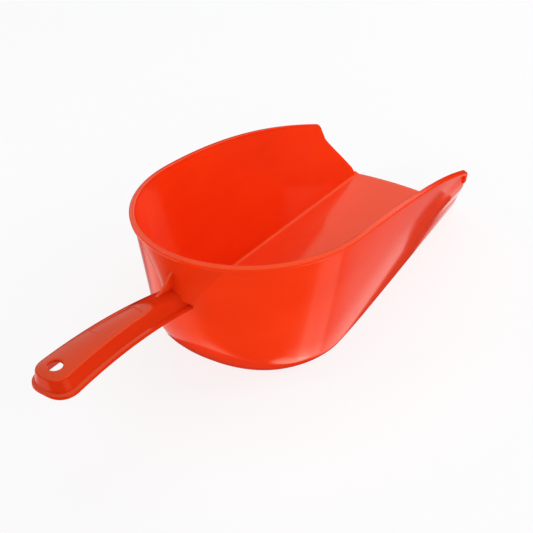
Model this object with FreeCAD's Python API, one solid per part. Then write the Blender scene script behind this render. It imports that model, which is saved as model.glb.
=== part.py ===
import FreeCAD, Part
import os
from math import sin, cos, atan2, tan, pi, sqrt, exp, hypot

# Large one-piece moulded hand scoop, resting on its flat floor.
# Frame: +Z up, +X towards the mouth, +Y to the left. The origin is on the resting plane,
# on the mid-plane, below the centre of the half-round back. Millimetres.
#
# The scoop is one moulding, written as five solids that meet at its own region lines: the
# bowl, the rim lip, the handle channel, the pad the handle grows from and the rib between
# handle and back wall.

Vector = FreeCAD.Vector

# ---------------------------------------------------------------- bowl and lip dimensions
WALL = 2.0              # wall thickness of the bowl
RIM_HALF_WIDTH = 80.0   # half width over the lip where the straight sides start
RIM_BACK = 90.6         # from the origin back to the outside of the lip
LIP_OUT = 1.8           # the lip stands this far out from the wall
LIP_TALL = 3.0          # height of the lip

TIP_X = 171.0           # front corner of the side walls
TIP_DROP = 11.0         # the corner's upright edge, down which the lip wraps
TIP_ROUND = 5.0
TIP_ARC_MID = 0.27      # the corner arc's middle is this share of TIP_ROUND inside the corner
TIP_LEAN = 1.4          # the upright edge leans forward by this on its way down
SHOULDER_ROUND = 3.0    # half height of the arc between upright edge and slanted edge
SHOULDER_ARC_MID = 0.25

RIM_Z0 = 102.3          # rim height above the table where the straight sides start
RIM_Z1, RIM_Z2, RIM_Z3 = -11.8, -8.15, -1.05   # rim height per (x/100), squared, cubed
RIM_Y2 = -4.65          # the rim draws in towards the mouth, per (x/100) squared
RIM_RUN_X, RIM_RUN = 110.0, 1.6     # from this x on it draws in less, by this at the tip

MOUTH_X = 194.0         # the floor's front edge at the corners
MOUTH_BOW = 3.5         # the floor's front edge bows forward by this at the middle
MOUTH_BOW_HALF = 43.0
MOUTH_STATIONS = (-60, -50, -43, -30, -15, 0, 15, 30, 43, 50, 60)   # y along that edge

FLOOR_HALF = 57.05      # half width of the floor inside, at the start of the straight sides
FLOOR_TAPER = 0.0801    # the floor narrows forwards by this per mm
FLOOR_BLEND = 20.0      # length over which the narrowing sets in
SIDE_RADIUS = 6.9       # outer radius between side wall and floor
BACK_BOTTOM = 85.5      # where the back wall's line would meet the table
BACK_RADIUS = 58.2      # outer radius between back wall and floor
RADIUS_POWER = 1.26     # how the radius grows from side to back
FOOT_POWER = 0.95       # how round the back is in plan at the table

SIDE_STEPS, BACK_STEPS, ARC_STEPS = 22, 24, 14
# rows at which the wall is split into faces, from the mouth to the middle of the back
SPLIT_ROWS = [0, 8, 15, 22, 28, 34, 40, 46]

# Blocks the bowl is cut from: (growth from the outer face, top z, front x)
OUTER_BLOCK = (0.0, 124.0, 214.0)
INNER_BLOCK = (-WALL, 130.0, 222.0)
LIP_BLOCK = (LIP_OUT, 126.0, 218.0)

# Extent of the trimming shapes, all clear of the bowl
TRIM_BACK, TRIM_FRONT, TRIM_BELOW, TRIM_HALF = -130.0, 230, -8, 120
RIM_POINTS = 26         # points along a rim curve
LIP_CLEAR = 6.0         # the lip's band runs this far past the rim and the tip
LIP_LEG_END = 1.0       # the lip's leg stops this far above the shoulder

# ---------------------------------------------------------------- handle dimensions
HANDLE_END = -206.0     # rear end of the handle
HANDLE_ROOT = -88.7
HANDLE_SPAN_END = -201.7            # x where the end half width below is reached
HANDLE_HALF_ROOT = 5.6  # half width across the top corners
HANDLE_HALF_END = 11.2
HANDLE_RISE = (86.9, 34.0, -18.6)   # top height: constant, per share of span, squared
HANDLE_LOFT_START = -74.0           # inside the bowl
HANDLE_LOFT_PAST = 4.0              # the loft runs on past the rear end by this
HANDLE_FLARE = 3.4      # each skirt leans out by this down to its foot
HANDLE_TALL = 12.5
HANDLE_WALL = 2.2
HOLLOW_DROP = 5.0       # the hollow runs out below the skirts by this
HANDLE_CROWN = 1.3
HANDLE_CORNER = 2.6
MIN_CORNER = 0.8        # least corner size inside
CORNER_ARC_MID = 0.27
CORNER_RISE = 0.12      # share of the crown at the inner end of the corner arc
SKIRT_LEAN = HANDLE_FLARE / HANDLE_TALL
BEAD_OUT, BEAD_TALL = 1.2, 2.4      # thickened foot along each skirt
BEAD_DRAFT = 0.3        # the bead is narrower at its top by this
BEAD_BURY = 0.4         # the bead's inner side stands this far inside the skirt
END_ROUND = 12.0
END_ARC_MID = 0.29
END_WIDEN = 2.0         # the end arcs open out by this in front
PLAN_FRONT, PLAN_HALF, PLAN_Z, PLAN_TALL = -60, 60, 40, 100
HANG_HOLE_R = 4.5
HANG_HOLE_X = -194.0
HOLE_CUT = 40           # length of the cutter, centred on the handle's top
PANEL_FRONT, PANEL_REAR = -126.0, -160.0    # blank recessed panel on the handle's top
PANEL_DEEP = 0.6
PANEL_HALF_FRONT, PANEL_HALF_REAR = 4.9, 6.3
PANEL_SIDE_RISE = 0.45  # height of the handle's crown at the panel's sides
PANEL_CLEAR = 4

# ---------------------------------------------------------------- pad and rib dimensions
PAD_TOP, PAD_FOOT = 109.8, 76.5     # above PAD_TOP the pad gets no wider
PAD_LEVELS = (PAD_FOOT, 80.0, 84.0, 88.5, 93.0, 98.0, 103.0, PAD_TOP - 2, 114.0)
PAD_STEP = 0.5                      # its step above the wall, at its edge
PAD_SWELL = 0.22                    # it swells this much per mm down, on the mid-plane
PAD_SWELL_TOP = 107.5               # height where the swell starts
PAD_SUNK = 1.2                      # depth of its inner face behind the wall's outer face
PAD_HALF_STEPS = 6
PAD_WIDTH_Z, PAD_WIDTH_SPAN = 82.9, 27.3    # base height and span of the width's curve
PAD_WIDTH = (13.3, 14.9, 7.7)       # half width: constant, per share of span, squared

RIB_THICK = 2.0
RIB_TOP, RIB_TAIL = 103.0, -109.5   # top z at the back wall, rear end x on the handle
RIB_TOP_X = -87.0
RIB_FRONT, RIB_FLOOR = -78, 80      # ends buried in the bowl wall and in the handle
RIB_SAG_X, RIB_SAG_Z = 0.2, 1.0     # the sloping edge hollows by this half way


# ---------------------------------------------------------------- helpers
def stations(start, end, count):
    return [start + (end - start) * i / (count - 1.0) for i in range(count)]


def mirrored(points):
    return [Vector(p.x, -p.y, p.z) for p in points]


def arc(start, middle, end):
    return Part.Arc(start, middle, end).toShape()


def spline(points):
    curve = Part.BSplineCurve()
    curve.interpolate(points)
    return curve.toShape()


def polyline(points):
    return [Part.makeLine(p, q) for p, q in zip(points, points[1:])]


def face_from(edges):
    return Part.Face(Part.Wire(Part.__sortEdges__(edges)))


def loft_solid(wires):
    return Part.makeLoft(wires, True, False)


# ---------------------------------------------------------------- the bowl's surfaces
def rim_z(x):
    u = x / 100.0
    return RIM_Z0 + RIM_Z1 * u + (RIM_Z2 * u * u + RIM_Z3 * u ** 3 if x > 0 else 0.0)


def rim_y(x):
    y = RIM_HALF_WIDTH + (RIM_Y2 * (x / 100.0) ** 2 if x > 0 else 0.0)
    if x > RIM_RUN_X:
        y += RIM_RUN * ((x - RIM_RUN_X) / (TIP_X - RIM_RUN_X)) ** 2
    return y


def floor_y(x):
    return FLOOR_HALF - FLOOR_TAPER * (x - FLOOR_BLEND * (1 - exp(-x / FLOOR_BLEND)))


def side_foot_y(x):
    """Where the side wall's outer line meets the table."""
    lean = (rim_y(x) - LIP_OUT - WALL - floor_y(x)) / (rim_z(x) - WALL)
    return floor_y(x) + WALL * sqrt(1 + lean * lean) - WALL * lean


# A column is one upright section of the outer wall: the (x, y) where its line meets the
# table, its outward direction in plan, the line's angle from level and its bottom radius.
def side_column(x):
    foot_y = side_foot_y(x)
    angle = atan2(rim_z(x), rim_y(x) - LIP_OUT - foot_y)
    return (x, foot_y), (0.0, 1.0), angle, SIDE_RADIUS


def back_column(turn):
    """turn runs from the side (0) to the mid-plane (pi/2)."""
    foot = (-BACK_BOTTOM * sin(turn) ** FOOT_POWER,
            side_foot_y(0.0) * max(cos(turn), 0.0) ** FOOT_POWER)
    out = hypot(foot[0], foot[1])
    dir_x, dir_y = foot[0] / out, foot[1] / out
    reach = 1 / sqrt((dir_x / (RIM_BACK - LIP_OUT)) ** 2
                     + (dir_y / (RIM_HALF_WIDTH - LIP_OUT)) ** 2)
    angle = atan2(rim_z(reach * dir_x), reach - out)
    radius = SIDE_RADIUS + (BACK_RADIUS - SIDE_RADIUS) * sin(turn) ** RADIUS_POWER
    return foot, (dir_x, dir_y), angle, radius


def section_points(column, grow, z_top):
    """Points down one section: the wall line's two ends, then round the bottom radius to the
    floor. grow offsets the whole section square to itself."""
    foot, (dir_x, dir_y), angle, radius = column
    radius += grow
    floor = -grow
    # where the offset lines meet, measured out from the foot
    corner = grow / sin(angle) - grow / tan(angle)
    tangent = radius / tan((pi - angle) / 2)

    def point(out, z):
        return Vector(foot[0] + dir_x * out, foot[1] + dir_y * out, z)

    points = [point(corner + (z - floor) / tan(angle), z)
              for z in (z_top, floor + tangent * sin(angle))]
    centre_out, centre_z = corner - tangent, floor + radius
    start, end = angle - pi / 2, -pi / 2
    for i in range(1, ARC_STEPS + 1):
        turn = start + (end - start) * i / ARC_STEPS
        points.append(point(centre_out + radius * cos(turn), centre_z + radius * sin(turn)))
    points[-1].z = floor
    return points


def bowl_grid(grow, z_top, x_front):
    """Rows of section points, from the left front round the back to the right front."""
    columns = [side_column(x_front * (1 - i / float(SIDE_STEPS))) for i in range(SIDE_STEPS)]
    columns += [back_column(pi / 2 * i / BACK_STEPS) for i in range(BACK_STEPS + 1)]
    rows = [section_points(column, grow, z_top) for column in columns]
    for p in rows[-1]:
        p.y = 0.0
    return rows + [mirrored(row) for row in reversed(rows[:-1])]


def wall_params(grid):
    """One common parameter along the wall, from the spacing at both ends of the wall's line."""
    params, total = [0.0], 0.0
    for row, following in zip(grid, grid[1:]):
        total += row[1].distanceToPoint(following[1]) + row[0].distanceToPoint(following[0])
        params.append(total)
    return [p / total for p in params]


def wall_edge(points, params):
    curve = Part.BSplineCurve()
    curve.interpolate(Points=points, Parameters=params)
    return curve.toShape()


def split_along(face, cuts):
    """The face cut across its long direction at the given shares of its length."""
    surface = face.Surface
    u0, u1, v0, v1 = surface.bounds()
    origin = surface.value(u0, v0)
    along_u = origin.distanceToPoint(surface.value(u0, v1)) < \
        origin.distanceToPoint(surface.value(u0 + 0.3 * (u1 - u0), v0))
    pieces = []
    for a, b in zip(cuts, cuts[1:]):
        piece = surface.copy()
        if along_u:
            piece.segment(u0 + a * (u1 - u0), u0 + b * (u1 - u0), v0, v1)
        else:
            piece.segment(u0, u1, v0 + a * (v1 - v0), v0 + b * (v1 - v0))
        pieces.append(piece.toShape())
    return pieces


def edges_where(faces, test):
    """Edges whose five sampled points all pass the test."""
    def passes(edge):
        first, last = edge.FirstParameter, edge.LastParameter
        return all(test(edge.valueAt(first + (last - first) * k / 4.0)) for k in range(5))
    return [edge for face in faces for edge in face.Edges if passes(edge)]


def bowl_block(grow, z_top, x_front):
    """A closed block whose sides and bottom are the bowl's outer face moved out by grow."""
    grid = bowl_grid(grow, z_top, x_front)
    params = wall_params(grid)
    marks = SPLIT_ROWS + [len(grid) - 1 - i for i in reversed(SPLIT_ROWS[:-1])]
    cuts = [params[i] for i in marks]
    wires = [Part.Wire(wall_edge([row[j] for row in grid], params))
             for j in range(ARC_STEPS + 2)]
    upper, lower = [], []
    for face in Part.makeLoft(wires[:2], False, True).Faces:
        upper += split_along(face, cuts)
    for face in Part.makeLoft(wires[1:], False, False).Faces:
        lower += split_along(face, cuts)

    top_line = Part.makeLine(grid[0][0], grid[-1][0])
    bottom_line = Part.makeLine(grid[0][-1], grid[-1][-1])
    ends = edges_where(upper + lower, lambda p: abs(p.x - x_front) < 0.01)
    bottom = edges_where(lower, lambda p: abs(p.z + grow) < 0.01)
    top = edges_where(upper, lambda p: abs(p.z - z_top) < 0.01)
    caps = [face_from(top + [top_line]),
            face_from(bottom + [bottom_line]),
            face_from(ends + [top_line, bottom_line])]
    shell = Part.Shell(upper + lower + caps)
    shell.sewShape(1e-4)
    solid = Part.makeSolid(shell)
    # the repaired copy is taken only if the repair gave a valid solid
    repaired = solid.copy()
    repaired.fix(1e-5, 1e-5, 1e-3)
    if repaired.isValid():
        solid = repaired
    if solid.Volume < 0:
        solid.reverse()
    return solid


# ---------------------------------------------------------------- side profiles (x, z)
SHOULDER_Z = rim_z(TIP_X) - TIP_DROP


def rim_points(drop, x_from, x_to):
    return [Vector(x, 0, rim_z(x) - drop) for x in stations(x_from, x_to, RIM_POINTS)]


def prism(edges):
    face = face_from(edges)
    face.translate(Vector(0, -TRIM_HALF, 0))
    return face.extrude(Vector(0, 2 * TRIM_HALF, 0))


def side_profile():
    """Everything under the rim and behind the mouth's slanted edge."""
    start = TIP_X - TIP_ROUND
    rim = rim_points(0.0, TRIM_BACK, start)
    slope = (rim_z(start + 0.05) - rim_z(start - 0.05)) / 0.1
    corner_end = Vector(TIP_X, 0, rim_z(start) + slope * TIP_ROUND - TIP_ROUND)
    corner_mid = Vector(TIP_X - TIP_ROUND * TIP_ARC_MID, 0,
                        rim_z(start) + slope * TIP_ROUND * (1 - TIP_ARC_MID)
                        - TIP_ROUND * TIP_ARC_MID)

    # shoulder between the upright edge and the slanted edge down to the floor
    foot_x = TIP_X + TIP_LEAN
    back = TIP_LEAN * SHOULDER_ROUND / (corner_end.z - SHOULDER_Z)
    ahead = (MOUTH_X - foot_x) / (SHOULDER_Z - WALL) * SHOULDER_ROUND
    before = Vector(foot_x - back, 0, SHOULDER_Z + SHOULDER_ROUND)
    middle = Vector(foot_x + SHOULDER_ARC_MID * (ahead - back), 0, SHOULDER_Z)
    after = Vector(foot_x + ahead, 0, SHOULDER_Z - SHOULDER_ROUND)

    edges = [spline(rim),
             arc(rim[-1], corner_mid, corner_end),
             Part.makeLine(corner_end, before),
             arc(before, middle, after)]
    edges += polyline([after, Vector(MOUTH_X, 0, WALL), Vector(TRIM_FRONT, 0, WALL),
                       Vector(TRIM_FRONT, 0, TRIM_BELOW), Vector(TRIM_BACK, 0, TRIM_BELOW),
                       rim[0]])
    return prism(edges)


def lip_profile():
    """The band under the rim that the lip fills, and its short leg down the front corner."""
    x_front, x_inner = TIP_X + LIP_CLEAR, TIP_X - LIP_TALL
    high = rim_points(-LIP_CLEAR, TRIM_BACK, x_front)
    low = rim_points(LIP_TALL, TRIM_BACK, x_inner)
    leg_z = SHOULDER_Z + LIP_LEG_END
    edges = [spline(high), spline(low)]
    edges += polyline([high[-1], Vector(x_front, 0, leg_z), Vector(x_inner, 0, leg_z), low[-1]])
    edges += polyline([low[0], high[0]])
    return prism(edges)


def mouth_cut():
    """The space in front of the floor's bowed edge."""
    x_front, z_low, tall = 240, -10, 30
    points = [Vector(MOUTH_X + MOUTH_BOW * (1 - (y / MOUTH_BOW_HALF) ** 2), y, z_low)
              for y in MOUTH_STATIONS]
    edges = [spline(points)]
    edges += polyline([points[-1], Vector(x_front, MOUTH_STATIONS[-1], z_low),
                       Vector(x_front, MOUTH_STATIONS[0], z_low), points[0]])
    return face_from(edges).extrude(Vector(0, 0, tall))


# ---------------------------------------------------------------- the handle
def handle_share(x):
    return (HANDLE_ROOT - x) / (HANDLE_ROOT - HANDLE_SPAN_END)


def handle_half(x):
    return HANDLE_HALF_ROOT + (HANDLE_HALF_END - HANDLE_HALF_ROOT) * handle_share(x)


def handle_top(x):
    """Height of the top's side corners: the handle rises from the bowl and levels off."""
    base, rise, bend = HANDLE_RISE
    share = handle_share(x)
    return base + rise * share + bend * share * share


def channel_wire(x, inset, drop):
    """Outline across the handle. inset moves the sides and top in; drop lowers the foot."""
    half = handle_half(x)
    half -= inset * sqrt(1 + SKIRT_LEAN * SKIRT_LEAN) - inset * SKIRT_LEAN * 0.5
    top = handle_top(x) - inset
    foot_z = handle_top(x) - HANDLE_TALL - drop
    size = max(HANDLE_CORNER - inset, MIN_CORNER)
    left = [Vector(x, half + (top - foot_z) * SKIRT_LEAN, foot_z),
            Vector(x, half + size * SKIRT_LEAN, top - size),
            Vector(x, half - CORNER_ARC_MID * size, top - CORNER_ARC_MID * size),
            Vector(x, half - size, top + CORNER_RISE * HANDLE_CROWN)]
    foot, low, middle, high = left
    foot_r, low_r, middle_r, high_r = mirrored(left)
    crest = Vector(x, 0, top + HANDLE_CROWN)
    return Part.Wire([
        Part.makeLine(foot, low), arc(low, middle, high), arc(high, crest, high_r),
        arc(high_r, middle_r, low_r), Part.makeLine(low_r, foot_r),
        Part.makeLine(foot_r, foot)])


def bead_wire(x, side):
    foot = handle_top(x) - HANDLE_TALL
    skirt = handle_half(x) + HANDLE_FLARE
    inner, outer = skirt - HANDLE_WALL + BEAD_BURY, skirt + BEAD_OUT
    points = [Vector(x, side * inner, foot),
              Vector(x, side * outer, foot),
              Vector(x, side * (outer - BEAD_DRAFT), foot + BEAD_TALL),
              Vector(x, side * inner, foot + BEAD_TALL)]
    return Part.makePolygon(points + [points[0]])


def end_plan(inset):
    """In plan, everything ahead of the handle's rounded end."""
    x = HANDLE_END + inset
    half = handle_half(HANDLE_END) + HANDLE_FLARE + BEAD_OUT - inset
    left = [Vector(x + END_ROUND, half + END_WIDEN, PLAN_Z),
            Vector(x + END_ROUND * END_ARC_MID,
                   half - END_ROUND * END_ARC_MID + END_WIDEN / 2, PLAN_Z),
            Vector(x, half - END_ROUND, PLAN_Z)]
    right = mirrored(left)
    edges = [arc(*left), Part.makeLine(left[2], right[2]), arc(*reversed(right))]
    edges += polyline([right[0], Vector(PLAN_FRONT, -PLAN_HALF, PLAN_Z),
                       Vector(PLAN_FRONT, PLAN_HALF, PLAN_Z), left[0]])
    return face_from(edges).extrude(Vector(0, 0, PLAN_TALL))


def panel_wire(x):
    """Section of the panel's cutter; its bottom follows the crowned top."""
    share = (x - PANEL_FRONT) / (PANEL_REAR - PANEL_FRONT)
    half = PANEL_HALF_FRONT + (PANEL_HALF_REAR - PANEL_HALF_FRONT) * share
    top = handle_top(x)
    left = [Vector(x, half, top + PANEL_CLEAR),
            Vector(x, half, top + PANEL_SIDE_RISE - PANEL_DEEP)]
    right = mirrored(left)
    crest = Vector(x, 0, top + HANDLE_CROWN - PANEL_DEEP)
    return Part.Wire([Part.makeLine(left[0], left[1]), arc(left[1], crest, right[1]),
                      Part.makeLine(right[1], right[0]), Part.makeLine(right[0], left[0])])


def handle_solids():
    """The open channel, and the same handle without its hollow, panel and hole."""
    places = stations(HANDLE_LOFT_START, HANDLE_END - HANDLE_LOFT_PAST, 8)
    filled = loft_solid([channel_wire(x, 0.0, 0.0) for x in places])
    for side in (1, -1):
        filled = filled.fuse(loft_solid([bead_wire(x, side) for x in places]))
    filled = filled.common(end_plan(0.0))
    hollow = loft_solid([channel_wire(x, HANDLE_WALL, HOLLOW_DROP) for x in places])
    hollow = hollow.common(end_plan(HANDLE_WALL))
    channel = filled.cut(hollow)
    channel = channel.cut(loft_solid([panel_wire(x)
                                      for x in stations(PANEL_FRONT, PANEL_REAR, 4)]))
    hole_base = Vector(HANG_HOLE_X, 0, handle_top(HANG_HOLE_X) - HOLE_CUT / 2)
    channel = channel.cut(Part.makeCylinder(HANG_HOLE_R, HOLE_CUT, hole_base))
    return channel, filled


# ---------------------------------------------------------------- pad and rib
def wall_point(turn, z, out):
    """A point of the back wall's line at height z, moved out from it in plan by out."""
    foot, (dir_x, dir_y), angle, _ = back_column(turn)
    run = z / tan(angle)
    x, y = foot[0] + dir_x * run, foot[1] + dir_y * run
    return Vector(x + dir_x * out, y + dir_y * out, z)


def pad_half(z):
    base, linear, square = PAD_WIDTH
    share = (z - PAD_WIDTH_Z) / PAD_WIDTH_SPAN
    return base + linear * share + square * share * share


def pad_edge_turn(z):
    """The turn at which the wall's line at this height reaches the pad's half width."""
    half = pad_half(min(z, PAD_TOP))
    low, high = 0.2, pi / 2
    for _ in range(60):
        middle = (low + high) / 2
        if wall_point(middle, z, 0).y > half:
            low = middle
        else:
            high = middle
    return (low + high) / 2


def pad_wire(z):
    edge = pad_edge_turn(z)
    swell = PAD_SWELL * max(0.0, PAD_SWELL_TOP - z)
    outer, inner = [], []
    for i in range(-PAD_HALF_STEPS, PAD_HALF_STEPS + 1):
        share = i / float(PAD_HALF_STEPS)
        turn = pi / 2 - (pi / 2 - edge) * abs(share)
        side = (i > 0) - (i < 0)
        step = PAD_STEP + swell * (1 - share * share)
        for points, out in ((outer, step), (inner, -PAD_SUNK)):
            p = wall_point(turn, z, out)
            points.append(Vector(p.x, side * p.y, p.z))
    return Part.Wire([spline(outer), Part.makeLine(outer[-1], inner[-1]),
                      spline(list(reversed(inner))), Part.makeLine(inner[0], outer[0])])


def pad_block():
    return loft_solid([pad_wire(z) for z in PAD_LEVELS])


def rib_block():
    y = -RIB_THICK / 2
    tail = Vector(RIB_TAIL, y, handle_top(RIB_TAIL) + HANDLE_CROWN)
    top = Vector(RIB_TOP_X, y, RIB_TOP)
    middle = Vector((tail.x + top.x) / 2 - RIB_SAG_X, y, (tail.z + top.z) / 2 - RIB_SAG_Z)
    edges = [arc(tail, middle, top)]
    edges += polyline([top, Vector(RIB_FRONT, y, RIB_TOP), Vector(RIB_FRONT, y, RIB_FLOOR),
                       Vector(RIB_TAIL, y, RIB_FLOOR), tail])
    return face_from(edges).extrude(Vector(0, RIB_THICK, 0))


# ---------------------------------------------------------------- the five pieces
def main():
    os.makedirs("parts", exist_ok=True)
    outer = bowl_block(*OUTER_BLOCK)
    inner = bowl_block(*INNER_BLOCK)
    lip_outer = bowl_block(*LIP_BLOCK)
    profile = side_profile()

    bowl = outer.cut(inner).common(profile).cut(mouth_cut())
    lip = lip_outer.cut(outer).common(lip_profile()).common(profile)

    channel, filled = handle_solids()
    channel = channel.cut(outer)
    pad = pad_block().cut(outer).cut(filled).cut(lip_profile())
    rib = rib_block().cut(outer).cut(filled).cut(pad)

    nodes = {
        "bowl_shell": bowl,
        "rim_lip": lip,
        "handle_channel": channel,
        "handle_root_pad": pad,
        "root_gusset": rib,
    }
    for name, shape in nodes.items():
        # the cuts can leave loose scraps; the piece is the largest solid
        piece = max(shape.Solids, key=lambda solid: solid.Volume)
        piece.exportStep("parts/" + name + ".step")


main()
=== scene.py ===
"""A moulded plastic scoop: an open bowl with a rim lip, and a hollow handle with a hang hole.

The bowl stands on z = 0 with its mouth towards +X and its handle towards -X, and is the same
on both sides of y = 0. Shapes are worked out in millimetres and built in metres; the floor,
lights and camera are in metres.
"""
import math
from collections import namedtuple

import bmesh
import bpy
import numpy as np
from mathutils import Matrix, Vector


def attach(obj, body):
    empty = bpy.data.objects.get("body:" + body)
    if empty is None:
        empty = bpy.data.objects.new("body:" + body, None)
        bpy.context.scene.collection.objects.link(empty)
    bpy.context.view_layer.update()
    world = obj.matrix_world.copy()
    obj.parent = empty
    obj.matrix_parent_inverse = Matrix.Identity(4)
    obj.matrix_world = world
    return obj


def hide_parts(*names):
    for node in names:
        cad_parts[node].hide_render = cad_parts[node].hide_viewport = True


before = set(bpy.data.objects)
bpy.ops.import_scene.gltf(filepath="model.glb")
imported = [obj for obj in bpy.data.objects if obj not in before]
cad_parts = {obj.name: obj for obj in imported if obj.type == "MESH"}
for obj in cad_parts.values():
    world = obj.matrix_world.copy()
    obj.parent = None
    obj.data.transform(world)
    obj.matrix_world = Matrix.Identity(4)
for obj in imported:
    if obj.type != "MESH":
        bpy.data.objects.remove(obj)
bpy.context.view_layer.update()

MM = 0.001

# ------------------------------------------------------------------ bowl sizes, mm
WALL = 2.0
LIP_OUT = 1.8                              # the lip stands this far outside the wall
RIM_HALF, RIM_BACK = 80.0, 90.6            # rim at x = 0 and at the back, over the lip
RIM_Z = 102.3                              # rim height at x = 0
RIM_FALL = (11.8, 8.15, 1.05)              # fall per 100 mm of x; the last two only for x > 0
RIM_NARROW = 4.65                          # narrowing of the rim, per (100 mm)^2
SPREAD_X, SPREAD, SPREAD_LENGTH = 110.0, 1.6, 61.0    # the rim spreads again past SPREAD_X
RIM_CUT = 0.55                             # the wall stops this far below the rim line

FLOOR_HALF, FLOOR_TAPER, FLOOR_BLEND = 57.05, 0.0801, 20.0
SIDE_RADIUS, BACK_RADIUS, RADIUS_POWER = 6.9, 58.2, 1.26     # bottom radius, side to back
BACK_FOOT, FOOT_POWER = 85.5, 0.95         # reach and shape of the foot round the back
INNER_TIGHTER, TIGHTER_RANGE = 2.5, 12.0   # the inside radius is tighter along the sides

BELLY, BELLY_X, BELLY_LENGTH = 1.7, 120.0, 52.0
BELLY_Z, BELLY_REACH = 36.5, 19.0

TIP_X, TIP_RADIUS = 171.0, 5.0             # rounded upper front corner of the side wall
TIP_DROP, TIP_LEAN = 11.0, 1.4             # height and lean of the upright below the corner
UPRIGHT_LOW = 45.2                         # where the upright turns into the small hollow
HOLLOW_DROP = 3.4
MOUTH_X, BOW, BOW_HALF = 194.0, 3.5, 43.0  # the floor's front edge bows forward
EDGE_ROUND = 0.95                          # depth of the rounding over the wall's free edge
EDGE_STEPS = 6

SLANT_ROWS, ARC_ROWS, FLOOR_ROWS = 22, 14, 14
SIDE_COLUMNS, BACK_COLUMNS = 64, 46


# ------------------------------------------------------------------ small helpers
def smooth(t):
    t = min(max(t, 0.0), 1.0)
    return t * t * (3 - 2 * t)


def round_off(distance, radius):
    """0 at an edge rising to 1 at radius from it, along a quarter circle."""
    return math.sqrt(1 - (1 - min(distance / radius, 1.0)) ** 2)


def unit(v):
    return np.asarray(v) / np.linalg.norm(v)


def facing(v, towards):
    """Unit vector along v, turned to point the same way as towards."""
    return unit(v) * (-1 if v @ np.asarray(towards) < 0 else 1)


def arc(cx, cy, radius, degrees):
    return [(cx + radius * math.cos(a), cy + radius * math.sin(a)) for a in np.radians(degrees)]


def both_halves(half, axis):
    """Adds the -Y mirror image; the last line along the axis is on the mid-plane."""
    other = np.delete(np.flip(half, axis), 0, axis) * (1, -1, 1)
    return np.concatenate([half, other], axis=axis)


# ------------------------------------------------------------------ bowl wall
# One upright slice of the wall: foot is where the extended outer face meets z = 0, outward a
# level direction, angle the face's slope, radius the bottom radius, top the rim height.
Column = namedtuple("Column", "foot outward angle radius top")


def rim_z(x):
    u = x / 100.0
    straight, square, cube = RIM_FALL
    return RIM_Z - straight * u - (square * u * u + cube * u ** 3 if x > 0 else 0.0)


def rim_y(x):
    y = RIM_HALF - (RIM_NARROW * (x / 100.0) ** 2 if x > 0 else 0.0)
    return y + (SPREAD * ((x - SPREAD_X) / SPREAD_LENGTH) ** 2 if x > SPREAD_X else 0.0)


def floor_y(x):
    return FLOOR_HALF - FLOOR_TAPER * (x - FLOOR_BLEND * (1 - math.exp(-x / FLOOR_BLEND)))


def foot_y(x):
    """Half width at z = 0 of the outer face, one wall outside the inner one."""
    lean = (rim_y(x) - LIP_OUT - WALL - floor_y(x)) / (rim_z(x) - WALL)
    return floor_y(x) + WALL * (math.sqrt(1 + lean * lean) - lean)


def side_column(x):
    foot, top = foot_y(x), rim_z(x)
    angle = math.atan2(top, rim_y(x) - LIP_OUT - foot)
    return Column((x, foot), (0.0, 1.0), angle, SIDE_RADIUS, top)


def back_column(q):
    """q runs from 0 at the +Y side to pi / 2 at the middle of the back."""
    s, c = math.sin(q), max(math.cos(q), 0.0)
    foot = (-BACK_FOOT * s ** FOOT_POWER, foot_y(0.0) * c ** FOOT_POWER)
    out = math.hypot(*foot)
    dx, dy = foot[0] / out, foot[1] / out
    reach = 1 / math.hypot(dx / (RIM_BACK - LIP_OUT), dy / (RIM_HALF - LIP_OUT))
    top = rim_z(reach * dx)
    radius = SIDE_RADIUS + (BACK_RADIUS - SIDE_RADIUS) * s ** RADIUS_POWER
    return Column(foot, (dx, dy), math.atan2(top, reach - out), radius, top)


def belly(x, z):
    """The side walls bulge slightly outwards towards the mouth."""
    if x < BELLY_X:
        return 0.0
    return (BELLY * smooth((x - BELLY_X) / BELLY_LENGTH)
            * smooth(1.0 - abs(z - BELLY_Z) / BELLY_REACH))


def tangent_length(radius, angle):
    """From the corner of wall and floor to where the bottom radius starts."""
    return radius / math.tan((math.pi - angle) / 2)


def wall_point(column, part, v, grow=0.0, top_cut=0.0):
    """A point of the wall, offset outwards by grow. part "line": v runs 0..1 from the rim to
    the bottom radius; "arc": v runs 0..1 round that radius; "z": v is the height itself."""
    angle = column.angle
    radius = column.radius + grow
    if grow < 0:
        radius -= INNER_TIGHTER * max(0.0, 1 - (column.radius - SIDE_RADIUS) / TIGHTER_RANGE)
    corner = grow / math.sin(angle) - grow / math.tan(angle)
    tangent = tangent_length(radius, angle)
    if part == "arc":
        turn = angle * (1 - v) - math.pi / 2
        out = corner - tangent + radius * math.cos(turn)
        z = -grow + radius + radius * math.sin(turn)
    else:
        z = v
        if part == "line":
            z_top = column.top - top_cut
            z = z_top + (tangent * math.sin(angle) - grow - z_top) * v
        out = corner + (z + grow) / math.tan(angle)
    (x, y), (dx, dy) = column.foot, column.outward
    out += belly(x, z)
    return np.array([x + dx * out, y + dy * out, z])


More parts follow.
